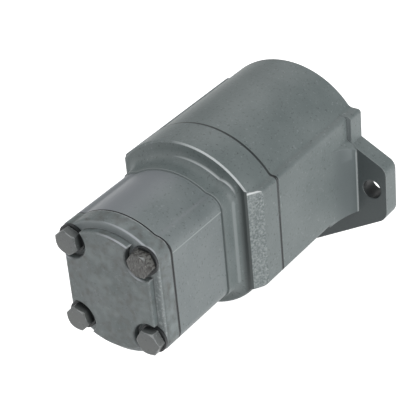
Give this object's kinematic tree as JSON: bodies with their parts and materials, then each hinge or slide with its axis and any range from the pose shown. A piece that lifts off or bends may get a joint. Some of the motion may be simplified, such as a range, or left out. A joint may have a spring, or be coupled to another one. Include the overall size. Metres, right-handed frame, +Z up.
{
  "type": "hydraulic vane pump",
  "caption": "Tandem hydraulic vane pump: two-ear mounting flange with round pilot, keyed drive shaft, barrel-shaped castings with flat sides and a bolted rear cover.",
  "frame": {"origin": "centre of the pilot on the mounting face", "axes": "+Y along the shaft, out of the drive end; +X to the right seen from the rear cover; +Z up"},
  "size_m": [0.1686, 0.2632, 0.1392],
  "materials": {
    "front_paint": "satin",
    "centre_paint": "satin, rough as-cast sides",
    "ring_paint": "satin",
    "cover_paint": "satin",
    "bolt_steel": "satin, one head bare steel",
    "washer_steel": "satin",
    "gasket": "matt",
    "shaft_steel": "ground",
    "key_steel": "ground",
    "seal_case": "satin",
    "seal_rubber": "matt",
    "pin_steel": "ground",
    "bearing_steel": "polished",
    "cage_brass": "satin",
    "spring_steel": "blackened",
    "bronze": "satin",
    "cam_steel": "ground",
    "rotor_steel": "ground",
    "vane_steel": "ground",
    "plate_bronze": "lapped",
    "plate_rubber": "matt"
  },
  "bodies": {
    "housing": {"bearing_outer_ring": "bearing_steel", "body_dowels": "pin_steel", "body_gasket": "gasket", "centre_bush": "bronze", "centre_housing": "centre_paint", "cover_bolts": "bolt_steel", "cover_gasket": "gasket", "cover_washers": "washer_steel", "front_body": "front_paint", "front_cam_ring": "cam_steel", "front_cartridge_pins": "pin_steel", "front_disc_spring": "spring_steel", "front_pressure_plate": "plate_bronze", "front_pressure_seal": "plate_rubber", "front_wear_plate": "plate_bronze", "front_wear_seal": "plate_rubber", "housing_snap_ring": "spring_steel", "rear_cam_ring": "cam_steel", "rear_cartridge_pins": "pin_steel", "rear_cover": "cover_paint", "rear_disc_spring": "spring_steel", "rear_dowels": "pin_steel", "rear_pressure_plate": "plate_bronze", "rear_pressure_seal": "plate_rubber", "rear_pump_housing": "ring_paint", "rear_wear_plate": "plate_bronze", "rear_wear_seal": "plate_rubber", "seal_case": "seal_case", "seal_lip": "seal_rubber", "tail_bush": "bronze"},
    "shaft": {"drive_shaft": "shaft_steel", "shaft_key": "key_steel", "bearing_inner_ring": "bearing_steel", "shaft_snap_ring": "spring_steel", "front_rotor": "rotor_steel", "front_vanes": "vane_steel", "rear_rotor": "rotor_steel", "rear_vanes": "vane_steel"},
    "ball_set": {"bearing_balls": "bearing_steel", "bearing_cage": "cage_brass"}
  },
  "joints": [
    {"name": "shaft_spin", "type": "hinge", "parent": "housing", "child": "shaft", "pos_m": [0, 0, 0], "axis": [0, 1, 0], "continuous": true},
    {"name": "ball_set_spin", "type": "hinge", "parent": "housing", "child": "ball_set", "pos_m": [0, -0.0165, 0], "axis": [0, 1, 0], "continuous": true}
  ],
  "couplings": [
    {"joint": "ball_set_spin", "follows": "shaft_spin", "ratio": 0.3974}
  ]
}
